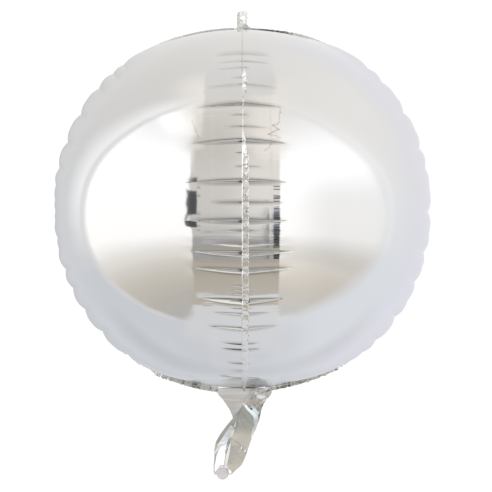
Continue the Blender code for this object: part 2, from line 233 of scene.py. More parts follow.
def lens(distance, reach):
    return np.clip(1.0 - (distance / reach) ** 2, 0.0, 1.0)


def row_latitudes(puckers, offsets):
    """Seam latitudes of the grid's rows at each column: close together at the puckers, which they follow."""
    latitude, _, half_width, reach = puckers
    blocks = []
    for height, half, far in zip(latitude, half_width, reach):
        share = np.maximum(lens(across_mm(np.minimum(offsets, FURTHEST), height), far), NARROWEST_ROWS)
        blocks.append(height - np.array(ROW_STEPS)[:, None] * half * share / MM_PER_DEGREE)
    rows = [np.linspace(np.full_like(offsets, TOP_LATITUDE), blocks[0][0], ROWS_AT_ENDS, endpoint=False)]
    for number, block in enumerate(blocks):
        if number:
            shares = np.linspace(0.0, 1.0, ROWS_BETWEEN + 2)[1:-1, None]
            rows.append(blocks[number - 1][-1] * (1.0 - shares) + block[0] * shares)
        rows.append(block)
    rows.append(np.linspace(blocks[-1][-1], np.full_like(offsets, PINCH_END), ROWS_AT_ENDS + 1)[1:])
    return np.concatenate(rows)


def pucker_inset(puckers, offsets, latitudes, edge, dip):
    """How deep one side of a seam's puckers draws the film in, in mm, and its painted shade and painted
    highlight, -1 to 1.
    """
    distance = across_mm(np.minimum(offsets, FURTHEST), latitudes)
    dip_half, dip_spread, dip_round, dip_power, dip_gain = dip
    inset, painted_shade, painted_highlight, cusps = np.zeros((4, *latitudes.shape))
    for latitude, depth, half_width, reach in zip(*puckers):
        above = (latitudes - latitude) * MM_PER_DEGREE
        beside = np.abs(above)
        share = lens(distance, reach)
        fold = min(FOLD_STEEPNESS * half_width, FOLD_SHARE * depth)
        round_mm = FOLD_ROUNDNESS * half_width
        inset += fold * np.maximum(share - np.hypot(beside, round_mm) / half_width, 0.0)
        fade = np.clip(1.0 - (distance / (reach * dip_spread)) ** dip_round, 0.0, 1.0) ** dip_power
        broad = np.clip(1.0 - beside / dip_half, 0.0, 1.0) ** 2
        inset += dip_gain * (depth - fold) * fade * broad
        # Painted shade and painted highlight lines along the fold, stronger for deeper folds
        strength = min(max(depth / FULL_DEPTH_MM, FAINTEST_LINE), 1.0)
        highlight_lines = PAINTED_HIGHLIGHT_LINES if half_width > HIGHLIGHT_FROM_MM else ()
        for lines, shade in ((PAINTED_SHADE_LINES, painted_shade), (highlight_lines, painted_highlight)):
            for place, weight in lines:
                line = np.exp(-(((above - place * half_width * share) / CREASE_LINE_MM) ** 2))
                np.maximum(shade, weight * strength * np.sqrt(share) * line, out=shade)
        # Painted shadow at the fold's root, where the film tucks under the margin
        root = np.exp(-((distance / ROOT_SHADE_MM) ** 2) - (beside / (ROOT_SHADE_SHARE * half_width)) ** 2)
        np.maximum(painted_shade, max(strength, FAINTEST_ROOT_SHADE) * root, out=painted_shade)
        cusp = min(depth / FULL_DEPTH_MM, 1.0) * np.exp(-((beside / CUSP_MM) ** 2))
        np.maximum(cusps, cusp, out=cusps)
    ends = smooth(*PILLOW_ENDS, np.abs(latitudes))
    pillow = PILLOW_MM * np.exp(-(((offsets - edge - PILLOW_BEYOND) / PILLOW_SPREAD) ** 2)) * ends
    return inset - pillow * (1.0 - cusps), painted_shade - painted_highlight * (1.0 - painted_shade)


def swelling(number, offsets, latitudes):
    """How far the film stands out beside a side seam, in mm."""
    heights, right, left = zip(*SWELLS)
    none = np.zeros(len(SWELLS))
    most = np.interp(latitudes, heights, (none, right, none, left)[number])
    return most * np.exp(-(((offsets - SWELL_PLACE) / SWELL_SPREAD) ** 2))


def across_latitude(latitude, offset):
    """Latitude of a pucker's line at an offset from its seam."""
    bend = 1.0 - BEND * np.tanh(offset / BEND_OVER)
    return np.degrees(np.arctan(np.tan(radians(latitude)) * np.cos(radians(offset)) * bend))


def add_piece(name, node, slot, points_mm, faces):
    """A visible piece that stands in for a node of the solids, in the material of its slot."""
    mesh = bpy.data.meshes.new(name)
    mesh.from_pydata((np.asarray(points_mm) * MM).tolist(), [], faces)
    mesh.validate()
    mesh.shade_smooth()
    mesh.set_sharp_from_angle(angle=radians(60.0))
    mesh.materials.append(MATERIALS[slot]())
    made = bpy.data.objects.new(name, mesh)
    bpy.context.scene.collection.objects.link(made)
    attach(made, "root")
    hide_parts(node)
    return made


def sheets(x, forward, z, levels_mm=(0.0,)):
    """A grid's points, once for each level in front of it."""
    grids = [np.stack([x, -(forward + level), z], axis=-1) for level in levels_mm]
    return np.stack(grids).reshape(-1, 3)


def lengths_along(points):
    return np.concatenate([[0.0], np.cumsum(np.linalg.norm(np.diff(points, axis=0), axis=1))])


def strips(index, after):
    """Faces between each row of points and the next one."""
    return np.stack([index[:-1], index[1:], after[1:], after[:-1]], axis=-1).reshape(-1, 4)


def closed_rings(shape):
    """Numbers of the points on closed rings, and of the next point round each ring."""
    index = np.arange(math.prod(shape)).reshape(shape)
    return index, np.roll(index, -1, axis=1)


def sheet_faces(rows, columns):
    """Faces of a closed sheet whose outer grid of points comes first and its inner grid second."""
    behind = rows * columns
    index = np.arange(behind).reshape(rows, columns)
    quads = strips(index[:, :-1], index[:, 1:])
    rim = np.concatenate([index[0], index[1:, -1], index[-1, -2::-1], index[-2:0:-1, 0]])
    after = np.roll(rim, -1)
    sides = np.stack([rim, after, behind + after, behind + rim], axis=-1)
    return np.concatenate([quads, quads[:, ::-1] + behind, sides]).tolist()


def add_gore(number, sides):
    """One film panel between two seams, as a closed thin sheet."""
    longitude = SEAMS[number][1]
    first, second = sides[number][1], sides[(number + 1) % 4][0]
    offsets = np.array(COLUMNS)
    rows_first = row_latitudes(first, offsets)
    rows_second = row_latitudes(second, 90.0 - offsets)
    share = smooth(30.0, 60.0, offsets)[None, :]
    latitudes = across_latitude(rows_first, offsets) * (1.0 - share)
    latitudes += across_latitude(rows_second, 90.0 - offsets) * share
    near, far = smooth(45.0, 40.0, offsets), smooth(45.0, 50.0, offsets)
    edges = [float(band_edge(longitude + step)) for step in (1.0, 89.0)]
    dips = DIPS[number], DIPS[(number + 1) % 4]
    across = np.broadcast_to(offsets, latitudes.shape)
    first_side = pucker_inset(first, across, rows_first, edges[0], dips[0])
    second_side = pucker_inset(second, 90.0 - across, rows_second, edges[1], dips[1])
    inset, crease_shading = (here * near + there * far for here, there in zip(first_side, second_side))
    inset -= swelling(number, across, latitudes) + swelling((number + 1) % 4, 90.0 - across, latitudes)
    longitudes = longitude + across
    outer = skin(longitudes, latitudes, inset)
    inner = skin(longitudes, latitudes, inset + FILM_MM)
    for grid in (outer, inner):
        grid[:, 0] += along(longitude) * GAP_MM / 2.0
        grid[:, -1] -= along(longitude + 90.0) * GAP_MM / 2.0
    points = np.concatenate([outer.reshape(-1, 3), inner.reshape(-1, 3)])
    faces = sheet_faces(*latitudes.shape)
    made = add_piece(GORES[number].replace("gore", "film"), GORES[number], "foil", points, faces)
    # The folds' painted shade and painted highlight go to the foil's colour as a point attribute
    crease_shading_attribute = made.data.attributes.new("crease", "FLOAT", "POINT")
    crease_shading_attribute.data.foreach_set("value", np.concatenate([crease_shading.ravel(), np.zeros(crease_shading.size)]))


# Margin: its cross-section beside the seam. Columns: share of the width, height over the film in mm.
MARGIN_SECTION = (
    (-0.02, 0.10), (-0.07, 0.35), (-0.07, 0.70), (-0.02, 0.98), (0.06, 1.08), (0.20, 1.00), (0.40, 0.92),
    (0.60, 0.90), (0.80, 0.85), (0.97, 0.80), (1.00, 0.62), (0.80, 0.50), (0.50, 0.50), (0.20, 0.50))
MARGIN_STEP_MM = 0.7
MARGIN_TOP = 87.6
# The film's height in the middle of the margin's thickness, in mm
MARGIN_MIDDLE = 0.75
# Crinkles: lift, sway and fine ones. Columns: how many waves, the shortest and the longest in mm.
MARGIN_WAVES = ((3, 4.0, 11.0), (3, 5.0, 17.0), (2, 2.2, 4.2))
# They are calmer above these latitudes, by this share.
CALM_LATITUDES = (48.0, 62.0)
CALM_SHARE = 0.75
# How far they go: in degrees of lean, shares of the width, and mm of height
SWAY_LEAN = 7.0
SWAY_WIDTH, FINE_WIDTH = 0.08, 0.07
LIFT_MM, SWAY_MM, FINE_MM = 0.45, 0.25, 0.16


def softened(values, reach, spread, **padding):
    """Values smoothed along their length by a bell curve."""
    kernel = np.exp(-((np.arange(-reach, reach + 1) / spread) ** 2))
    return np.convolve(np.pad(values, reach, **padding), kernel / kernel.sum(), mode="valid")


def crinkle(draw, distance, count, shortest, longest):
    """Sharp-edged waves along a margin, between -1 and 1."""
    waves = np.zeros_like(distance)
    for _ in range(count):
        length, phase = draw.uniform(shortest, longest), draw.uniform(0.0, 1.0)
        waves += 4.0 * np.abs((distance / length + phase) % 1.0 - 0.5) - 1.0
    return waves / count


def add_margin(number, sides, draw):
    """The sealed margin of a seam: it rises between the panels and lies over, crinkled, on one of them."""
    name, longitude, _, width, stops = SEAMS[number]
    right = sides[number][1]
    latitudes = np.arange(MARGIN_TOP, PINCH_END, -MARGIN_STEP_MM / MM_PER_DEGREE)
    inset, _ = pucker_inset(right, np.zeros_like(latitudes), latitudes, BAND_EDGE, DIPS[number])
    distance = latitudes * MM_PER_DEGREE
    even = np.arange(distance.min(), distance.max(), 0.5)
    level = softened(np.interp(even, distance[::-1], inset[::-1]), reach=16, spread=6.0, mode="edge")
    soft_inset = np.interp(distance, even, level)
    calm = 1.0 - CALM_SHARE * smooth(*CALM_LATITUDES, latitudes)
    lift, sway, fine = (crinkle(draw, distance, *waves) * calm for waves in MARGIN_WAVES)
    stop_latitudes, stop_leans, stop_shares = zip(*reversed(stops))
    lean = np.interp(latitudes, stop_latitudes, stop_leans)
    widths = width * np.interp(latitudes, stop_latitudes, stop_shares)
    normal = outward(longitude, latitudes)
    rings = []
    for share, height in MARGIN_SECTION:
        loose = np.clip(share, 0.0, 1.0)
        drawn = inset * (1.0 - 0.8 * loose) + soft_inset * 0.8 * loose
        foot = skin(np.full_like(latitudes, longitude), latitudes, drawn)
        angle = radians(lean * (0.55 + 0.45 * smooth(0.0, 0.35, loose)) + SWAY_LEAN * sway * loose)
        reach = widths * share * (1.0 + (SWAY_WIDTH * sway + FINE_WIDTH * fine) * loose)
        waves = LIFT_MM * lift * (1.0 - 0.3 * loose) + SWAY_MM * sway + FINE_MM * fine
        thick = height + waves * loose - MARGIN_MIDDLE
        side = np.where(lean > 0.0, 1.0, -1.0)
        over = reach * np.sin(angle) - thick * side * np.cos(angle)
        rise = MARGIN_MIDDLE + reach * np.cos(angle) + thick * side * np.sin(angle)
        rings.append(foot + along(longitude) * over[:, None] + normal * rise[:, None])
    rings = np.stack(rings, axis=1)
    index, after = closed_rings(rings.shape[:2])
    faces = np.roll(strips(index, after), -1, axis=1).tolist()
    faces += [index[0].tolist(), index[-1, ::-1].tolist()]
    add_piece(name.replace("seam", "margin"), name, "sealed_margin", rings.reshape(-1, 3), faces)


# Tail: two plies of film, folded over once at the neck. Its rows run from the left edge to the right one.
# Columns: sideways place and height of the left edge, then of the right edge, and the ply's bulge, in mm.
TAIL_ROWS = (
    (-27.3, -191.9, 32.7, -191.9, 3.4),
    (-25.7, -199.3, 31.4, -198.8, 2.7),
    (-21.2, -203.1, 27.3, -202.9, 2.0),
    (-17.2, -209.2, 23.4, -208.4, 1.0),
    (-13.0, -215.4, 20.7, -215.5, 0.3),
    (-9.5, -224.0, 19.0, -224.6, 0.3),
    (-17.2, -233.2, 15.7, -233.7, 0.3),
    (-23.6, -241.8, 11.8, -242.9, 0.3),
    (-28.3, -250.4, 8.4, -251.4, 0.3),
    (-29.8, -257.9, 5.7, -259.5, 0.3),
    (-29.6, -266.4, 2.7, -268.1, 0.3),
    (-30.5, -274.0, -0.8, -275.0, 0.5),
    (-30.8, -279.3, -7.0, -280.2, 0.8),
    (-29.2, -284.7, -11.6, -285.0, 0.8),
)
# It leans back below this height, by this share.
TAIL_LEAN = 0.2
TAIL_LEAN_TOP_MM = -200.0

# Flat facets of the front ply; a later one lies over an earlier one. Columns: how far the facet is turned to
# the viewer's right and tipped downwards in degrees, and its corners' sideways places and heights in mm.
TAIL_FACETS = (
    (-3, -6, ((-27.9, -203.7), (-10.7, -205.9), (4.3, -206.9), (17.2, -203.7), (31.1, -203.7),
        (21.4, -214.4), (18.8, -224.1), (9.6, -216.6), (2.1, -210.2), (-9.1, -224.1), (-21.4, -212.3))),
    (6, 6, ((13.5, -194.2), (26.5, -194.8), (22.5, -199.5), (19.0, -201.0), (12.9, -200.2))),
    (0, 4, ((24.7, -194.1), (33.2, -194.6), (29.5, -200.5), (24.1, -199.4))),
    (24, 0, ((17.2, -197.8), (21.4, -199.4), (19.3, -202.6), (15.0, -201.0))),
    (26, -8, ((20.9, -200.5), (26.3, -201.0), (23.6, -205.3), (19.8, -204.3))),
    (1, 12, ((8.6, -202.6), (10.7, -202.1), (22.0, -212.8), (20.9, -215.3))),
    (6, 8, ((7.1, -205.4), (8.6, -203.7), (20.7, -216.4), (19.8, -218.7))),
    (14, 4, ((5.4, -207.5), (7.0, -205.9), (19.6, -219.6), (18.8, -221.9))),
    (-3, 13.5, ((2.0, -212.8), (4.8, -215.5), (9.1, -219.3), (11.8, -222.5), (12.4, -232.5), (8.6, -246.8),
        (4.8, -252.3), (-2.8, -249.6), (-4.1, -243.4), (-1.6, -229.8), (-2.1, -218.7))),
    (-3, 9, ((-4.1, -238.0), (10.6, -238.0), (8.6, -246.8), (4.8, -252.3), (-2.8, -249.6))),
    (-2, 9, ((4.3, -223.0), (8.0, -227.3), (8.0, -232.7), (4.3, -228.4))),
    (25, 0, ((1.9, -210.7), (4.8, -210.2), (10.2, -216.6), (16.9, -221.4), (17.5, -224.6), (16.1, -232.7),
        (14.3, -233.2), (12.7, -226.2), (12.3, -222.5), (8.6, -218.7), (4.8, -215.0))),
    (25, 4, ((11.3, -235.3), (14.4, -234.8), (11.0, -245.5), (9.5, -245.5))),
    (-7, 8, ((-8.6, -223.0), (-2.1, -216.6), (-2.7, -226.2), (-5.9, -234.8), (-10.7, -237.0),
        (-13.9, -231.6))),
    (-7, 8.5, ((-9.6, -224.1), (-12.9, -232.7), (-21.4, -245.5), (-30.0, -254.1), (-31.1, -245.5),
        (-22.5, -235.9))),
    (-22, 10, ((-12.9, -232.7), (-7.5, -235.9), (-10.2, -246.1), (-15.0, -248.8), (-21.4, -252.0),
        (-27.9, -254.6), (-21.4, -245.5))),
    (-24, 0, ((-3.4, -223.9), (-2.0, -224.1), (-2.4, -229.9), (-3.9, -230.1))),
    (-22, 0, ((-7.3, -226.8), (-6.1, -227.0), (-6.9, -233.2), (-8.0, -233.2))),
    (-12, 12, ((-31.1, -254.1), (-26.3, -253.7), (-25.2, -258.4), (-29.5, -268.1), (-32.2, -268.1))),
    (-22, 0, ((-25.1, -254.3), (-24.0, -255.6), (-28.3, -261.0), (-29.1, -260.1))),
    (-33, 4, ((-24.1, -255.7), (-17.4, -253.6), (-18.2, -267.0), (-19.6, -278.2), (-26.8, -283.1),
        (-29.4, -279.8), (-27.7, -265.9))),
    (6, 6, ((-14.4, -248.2), (-12.9, -249.1), (-15.1, -257.9), (-16.9, -257.3))),
    (-3, 5, ((-11.6, -250.9), (-1.4, -253.7), (5.4, -263.2), (2.5, -270.2), (-2.1, -276.6), (-7.5, -280.4),
        (-10.7, -282.5), (-15.5, -277.7), (-14.6, -268.1))),
    (24, 0, ((-12.9, -250.4), (-11.6, -250.9), (-14.7, -267.0), (-17.2, -277.2), (-19.3, -277.5),
        (-17.7, -267.0), (-15.0, -257.3))),
    (6, 6, ((-10.7, -246.4), (-6.6, -247.0), (-2.6, -251.8), (-3.8, -252.8), (-7.5, -249.3),
        (-10.7, -248.2))),
    (22, 0, ((-1.5, -254.4), (0.4, -254.8), (0.2, -257.5), (-1.5, -257.3))),
    (22, 0, ((2.1, -258.2), (4.3, -258.2), (4.1, -260.5), (2.1, -260.5))),
    (24, 0, ((-16.3, -276.8), (-10.7, -281.5), (-12.9, -286.3), (-15.2, -280.9))),
)
# Where no facet is named, the mouth and the rest are tipped down this far.
TAIL_MOUTH_END_MM = -203.5
TAIL_MOUTH_TIP = -7.0
TAIL_TIP_DOWN = 11.5
TAIL_COLUMNS = 71
TAIL_ROW_COUNT = 170
# The folded surface is held at the tail's lean over its first rows, and weakly over its last ones.
TOP_HELD_ROWS = 6
END_HELD_ROWS = 12
END_HOLD = 0.02
SOLVER_STEPS = 900
CREASE_MM = 0.07
# How many creases, the shortest and the longest wave in mm
TAIL_CREASES = (4, 4.0, 11.0)
# Columns: ply, side of the fold that it is on, and its faces' height over the fold in mm
TAIL_PLIES = (("tail_front_ply", 1.0, (0.75, 0.40)), ("tail_back_ply", -1.0, (-0.40, -0.75)))

# The round clear end of the valve film, in a notch of the front ply, in mm
VALVE_PLACE_MM = (-21.0, -287.0)
VALVE_RADIUS_MM = 6.4
NOTCH_TOP_MM = -277.0
NOTCH_GAP_MM = 0.3


def fine_creases(draw, x, z, count, shortest, longest):
    """Straight sharp waves in seeded directions, between 0 and 1."""
    waves = np.zeros(x.shape)
    for _ in range(count):
        angle, length = draw.uniform(0.0, math.pi), draw.uniform(shortest, longest)
        along_wave = (x * math.cos(angle) + z * math.sin(angle)) / length + draw.uniform(0.0, 1.0)
        waves += np.abs(along_wave % 1.0 - 0.5) * 2.0
    return waves / count


def tail_grid():
    """Sideways place, height and bulge at the tail's grid points in mm."""
    rows = np.array(TAIL_ROWS)
    middles = (rows[:, :2] + rows[:, 2:4]) / 2.0
    lengths = lengths_along(middles)
    fine = np.linspace(0.0, lengths[-1], TAIL_ROW_COUNT)
    left_x, left_z, right_x, right_z, bulge = (
        softened(np.interp(fine, lengths, column), 5, 2.5, mode="reflect", reflect_type="odd")[:, None]
        for column in rows.T
    )
    shares = np.linspace(0.0, 1.0, TAIL_COLUMNS)[None, :]
    x = left_x + (right_x - left_x) * shares
    z = left_z + (right_z - left_z) * shares
    return x, z, bulge * (1.0 - (2.0 * shares - 1.0) ** 2)


def inside(x, z, corners):
    """Which points lie in a polygon."""
    result = np.zeros(x.shape, dtype=bool)
    for (x0, z0), (x1, z1) in zip(corners, corners[1:] + corners[:1]):
        crosses = (z0 > z) != (z1 > z)
        if z0 != z1:
            result ^= crosses & (x < x0 + (z - z0) * (x1 - x0) / (z1 - z0))
    return result


def lean_forward(z):
    return TAIL_LEAN * np.minimum(z - TAIL_LEAN_TOP_MM, 0.0)


def folded_forward(x, z):
    """How far forward the tail's creased middle lies: the surface whose facets fit the table best."""
    turn = np.zeros(x.shape)
    tip = np.where(z > TAIL_MOUTH_END_MM, TAIL_MOUTH_TIP, TAIL_TIP_DOWN)
    for facet_turn, facet_tip, corners in TAIL_FACETS:
        chosen = inside(x, z, corners)
        turn[chosen] = facet_turn
        tip[chosen] = facet_tip
    slope_x = -np.tan(radians(turn))
    slope_z = np.tan(radians(tip))
    wanted = []
    for axis in (0, 1):
        steps = [np.diff(values, axis=axis) for values in (x, z)]
        means = [(np.delete(slope, 0, axis) + np.delete(slope, -1, axis)) / 2.0
                 for slope in (slope_x, slope_z)]
        wanted.append(steps[0] * means[0] + steps[1] * means[1])
    held = lean_forward(z)
    hold = np.zeros(x.shape)
    hold[:TOP_HELD_ROWS] = 1.0
    hold[-END_HELD_ROWS:] = END_HOLD

    def gather(along_rows, along_columns):
        total = np.zeros(x.shape)
        total[1:] += along_rows
        total[:-1] -= along_rows
        total[:, 1:] += along_columns
        total[:, :-1] -= along_columns
        return total

    def apply(values):
        return gather(np.diff(values, axis=0), np.diff(values, axis=1)) + hold * values

    # Conjugate gradients
    height = held.copy()
    rest = gather(*wanted) + hold * held - apply(height)
    step, size = rest.copy(), float((rest * rest).sum())
    for _ in range(SOLVER_STEPS):
        spread = apply(step)
        reach = size / float((step * spread).sum())
        height += reach * step
        rest -= reach * spread
        after = float((rest * rest).sum())
        if after < 1e-10:
            break
        step = rest + step * (after / size)
        size = after
    return height


def notched(x, z):
    """Heights of the front ply, drawn up so that it ends round the valve film."""
    from_middle = np.abs(x - VALVE_PLACE_MM[0])
    reach = VALVE_RADIUS_MM + NOTCH_GAP_MM
    edge = VALVE_PLACE_MM[1] + np.sqrt(np.maximum(reach**2 - from_middle**2, 0.0))
    end = z[-1]
    drawn = NOTCH_TOP_MM + (z - NOTCH_TOP_MM) * (np.maximum(edge, end) - NOTCH_TOP_MM) / (end - NOTCH_TOP_MM)
    return np.where((z < NOTCH_TOP_MM) & (from_middle < reach), drawn, z)


def add_tail(draw):
    """The tail's two plies of film and the clear valve film that shows at its end."""
    x, z, bulge = tail_grid()
    folded = folded_forward(x, z)
    # What lies further back is seen smaller, so it is made larger by as much.
    further = 1.0 - folded / (CAMERA_DISTANCE / MM)
    x, z = x * further, z * further
    for name, side, levels_mm in TAIL_PLIES:
        crease = CREASE_MM * fine_creases(draw, x, z, *TAIL_CREASES)
        height = notched(x, z) if side > 0.0 else z
        points = sheets(x, folded + side * (bulge + crease), height, levels_mm)
        add_piece(name.replace("ply", "film"), name, "foil", points, sheet_faces(*x.shape))
    middle_x, middle_z = VALVE_PLACE_MM
    nearest = np.argmin(np.hypot(x - middle_x, z - middle_z))
    add_valve_end(middle_x, middle_z, folded.ravel()[nearest])


# The valve end's profile. Columns: share of its radius, and the height over its middle plane in mm.
VALVE_PROFILE = (
    (0.0, 0.55), (0.45, 0.50), (0.78, 0.30), (0.88, 0.28), (0.93, 0.45), (0.98, 0.40), (1.0, 0.0))
VALVE_SIDES = 72


def add_valve_end(middle_x, middle_z, forward):
    """A slightly domed round of clear film with a welded rim."""
    profile = VALVE_PROFILE + tuple((share, -height) for share, height in reversed(VALVE_PROFILE[:-1]))
    turns = np.arange(VALVE_SIDES) * math.tau / VALVE_SIDES
    share, height = np.array(profile[1:-1]).T[:, :, None]
    x = middle_x + VALVE_RADIUS_MM * share * np.cos(turns)
    z = middle_z + VALVE_RADIUS_MM * share * np.sin(turns)
    rings = sheets(x, forward + TAIL_LEAN * (z - middle_z) + height, z)
    tips = [(middle_x, -(forward + profile[end][1]), middle_z) for end in (0, -1)]
    index, after = closed_rings(x.shape)
    faces = strips(index, after).tolist()
    for tip, first, second in ((x.size, index[0], after[0]), (x.size + 1, after[-1], index[-1])):
        faces += np.stack([np.full(VALVE_SIDES, tip), first, second], axis=-1).tolist()
    add_piece("valve_end", "valve_film", "clear_film", np.concatenate([rings, tips]), faces)


# Hang tab: a flat tab with a punched hole, folded a little along its left side, in mm
TAB_HALF_WIDTH = 5.85
TAB_MIDDLE = 0.5
TAB_BOTTOM = 195.2
TAB_SHOULDER = 205.0
TAB_NECK_INSET = 1.8
TAB_TOP = 212.2
TAB_CORNER = 4.4
TAB_HALF_FILM = 0.25
TAB_HOLE = (0.5, 204.8)
TAB_HOLE_RADII = (1.7, 2.3)
TAB_FOLD_X = -2.6
TAB_TURN_RIGHT = 6.0
TAB_TILT = -0.09
TAB_TURN_LEFT = -6.0
TAB_CREASE_MM = 0.10
TAB_CREASES = (3, 3.0, 7.0)
TAB_LIP_MM = 0.45
TAB_LIP_SHARE = 0.12
TAB_RINGS = 22
TAB_SIDES = 160


def tab_outline():
    half = TAB_HALF_WIDTH
    points = [(-half, TAB_BOTTOM), (half - TAB_NECK_INSET, TAB_BOTTOM), (half, TAB_SHOULDER)]
    for side, start in ((1.0, 0.0), (-1.0, 90.0)):
        for step in range(9):
            angle = radians(start + step * 11.25)
            points.append((side * (half - TAB_CORNER) + TAB_CORNER * math.cos(angle),
                           TAB_TOP - TAB_CORNER + TAB_CORNER * math.sin(angle)))
    points = np.array(points + points[:1])
    points[:, 0] += TAB_MIDDLE
    lengths = lengths_along(points)
    even = np.linspace(0.0, lengths[-1], TAB_SIDES, endpoint=False)
    return np.interp(even, lengths, points[:, 0]), np.interp(even, lengths, points[:, 1])


def add_tab(draw):
    outline_x, outline_z = tab_outline()
    angle = np.arctan2(outline_z - TAB_HOLE[1], outline_x - TAB_HOLE[0])
    hole_x = TAB_HOLE[0] + TAB_HOLE_RADII[0] * np.cos(angle)
    hole_z = TAB_HOLE[1] + TAB_HOLE_RADII[1] * np.sin(angle)
    shares = np.linspace(0.0, 1.0, TAB_RINGS)[:, None]
    x = hole_x * (1.0 - shares) + outline_x * shares
    z = hole_z * (1.0 - shares) + outline_z * shares
    beyond = x - TAB_FOLD_X
    right, left = math.tan(radians(TAB_TURN_RIGHT)), math.tan(radians(TAB_TURN_LEFT))
    forward = -np.where(beyond > 0.0, right * beyond, left * beyond)
    crease = TAB_CREASE_MM * fine_creases(draw, x, z, *TAB_CREASES)
    lip = TAB_LIP_MM * np.exp(-((shares / TAB_LIP_SHARE) ** 2))
    forward = forward + crease + TAB_TILT * (z - TAB_BOTTOM) + lip
    points = sheets(x, forward, z, (TAB_HALF_FILM, -TAB_HALF_FILM))
    behind = x.size
    index, after = closed_rings(x.shape)
    front = strips(index, after)
    edges = [np.stack([index[-1], behind + index[-1], behind + after[-1], after[-1]], axis=-1),
             np.stack([index[0], after[0], behind + after[0], behind + index[0]], axis=-1)]
    faces = np.concatenate([front, front[:, ::-1] + behind] + edges).tolist()
    add_piece("tab_film", "hang_tab", "sealed_margin", points, faces)


# Gathered film under the tab. Columns: height over the envelope's top, sideways place of the middle,
# half-width, half-depth and depth of the pleats, in mm.
GATHER_RINGS = (
    (-1.2, 2.4, 13.2, 10.5, 0.2),
    (0.3, 2.2, 12.0, 9.3, 0.8),
    (1.2, 2.1, 10.4, 7.6, 1.5),
    (2.2, 2.0, 8.8, 5.6, 1.5),
    (3.4, 1.8, 7.2, 3.2, 1.1),
    (4.6, 1.2, 6.1, 1.9, 0.6),
    (5.8, 0.6, 5.5, 1.0, 0.2),
    (7.2, 0.5, 5.2, 0.5, 0.1),
)
GATHER_SIDES = 220
GATHER_LEVELS = 30
GATHER_PLEATS = 13
GATHER_BEND = 0.35
GATHER_TWIST = 0.04


def add_gather(draw):
    table = np.array(GATHER_RINGS)
    top = skin(np.array([0.0]), np.array([90.0]), np.array([0.0]))[0, 2]
    heights = np.linspace(table[0, 0], table[-1, 0], GATHER_LEVELS)
    middle, half_width, half_depth, pleat = (np.interp(heights, table[:, 0], table[:, column])[:, None]
                                             for column in (1, 2, 3, 4))
    turns = np.arange(GATHER_SIDES) * math.tau / GATHER_SIDES
    bends = draw.uniform(-GATHER_BEND, GATHER_BEND, 4)
    uneven = turns + sum(bend * np.sin((number + 1) * turns + number) / (number + 1)
                         for number, bend in enumerate(bends))
    phase = (uneven[None, :] * GATHER_PLEATS / math.tau + GATHER_TWIST * heights[:, None]) % 1.0
    fold = 4.0 * np.abs(phase - 0.5) - 1.0
    x = middle + (half_width + pleat * fold) * np.cos(turns)
    y = (half_depth + pleat * fold) * np.sin(turns)
    z = np.broadcast_to(top + heights[:, None], x.shape)
    index, after = closed_rings(x.shape)
    faces = np.roll(strips(after, index), 1, axis=1).tolist()
    faces += [index[0, ::-1].tolist(), index[-1].tolist()]
    add_piece("gather_film", "tab_gather", "sealed_margin", sheets(x, -y, z), faces)


class Nodes:
    """Short calls to lay out a shader tree."""

    def __init__(self, tree):
        self.tree = tree

    def add(self, kind, **settings):
        node = self.tree.nodes.new(kind)
        for name, value in settings.items():
            setattr(node, name, value)
        return node

    def put(self, target, value):
        """Links a socket or sets its value. A colour comes without its alpha."""
        if isinstance(value, bpy.types.NodeSocket):
            self.tree.links.new(value, target)
        else:
            target.default_value = (*value, 1.0) if target.type == "RGBA" else value

    def fill(self, node, sockets, values):
        for socket, value in zip(sockets, values):
            self.put(node.inputs[socket], value)

    def math(self, operation, *values, clamp=False):
        node = self.add("ShaderNodeMath", operation=operation, use_clamp=clamp)
        self.fill(node, range(3), values)
        return node.outputs[0]

    def times(self, *values):
        """The product of numbers."""
        return reduce(lambda first, second: self.math("MULTIPLY", first, second), values)

    def plus(self, base, value, share=1.0):
        """A number plus a share of another."""
        return self.math("MULTIPLY_ADD", value, share, base)

    def step(self, value, low, high, at_low=0.0, at_high=1.0):
        """A smooth step from at_low to at_high as value goes from low to high."""
        node = self.add("ShaderNodeMapRange", interpolation_type="SMOOTHSTEP")
        self.fill(node, range(5), (value, low, high, at_low, at_high))
        return node.outputs[0]

    def where(self, *steps):
        """The product of such steps."""
        return self.times(*(self.step(*each) for each in steps))

    def vector(self, operation, first, second):
        """Vector arithmetic. A dot product or a distance comes out as a number."""
        node = self.add("ShaderNodeVectorMath", operation=operation)
        self.fill(node, (0, 1), (first, second))
        return node.outputs["Value" if operation in ("DOT_PRODUCT", "DISTANCE") else "Vector"]

    def scale(self, color, factor):
        """A colour or a place times a number."""
        node = self.add("ShaderNodeVectorMath", operation="SCALE")
        self.fill(node, (0, "Scale"), (color, factor))
        return node.outputs["Vector"]

    def vary(self, color, *changes):
        """A colour made brighter or dimmer by a share of itself, each time where some steps say."""
        for share, *steps in changes:
            color = self.scale(color, self.plus(1.0, self.where(*steps), share))
        return color

    def mix(self, share, first, second):
        """A colour between two others."""
        node = self.add("ShaderNodeMix", data_type="RGBA")
        self.fill(node, (0, 6, 7), (share, first, second))
        return node.outputs[2]

    def split(self, vector):
        node = self.add("ShaderNodeSeparateXYZ")
        self.put(node.inputs[0], vector)
        return node.outputs

    def noise(self, place, scale, detail=2.0, distortion=0.0):
        node = self.add("ShaderNodeTexNoise")
        self.fill(node, ("Vector", "Scale", "Detail", "Distortion"), (place, scale, detail, distortion))
        return node.outputs

    def bump(self, shader, height, strength, distance):
        node = self.add("ShaderNodeBump")
        self.fill(node, ("Height", "Strength", "Distance"), (height, strength, distance))
        self.put(shader.inputs["Normal"], node.outputs["Normal"])


def principled(name, color, metallic, roughness):
    material = bpy.data.materials.new(name)
    material.use_nodes = True
    shader = material.node_tree.nodes["Principled BSDF"]
    nodes = Nodes(material.node_tree)
    nodes.fill(shader, ("Base Color", "Metallic", "Roughness"), (color, metallic, roughness))
    return material, shader, nodes


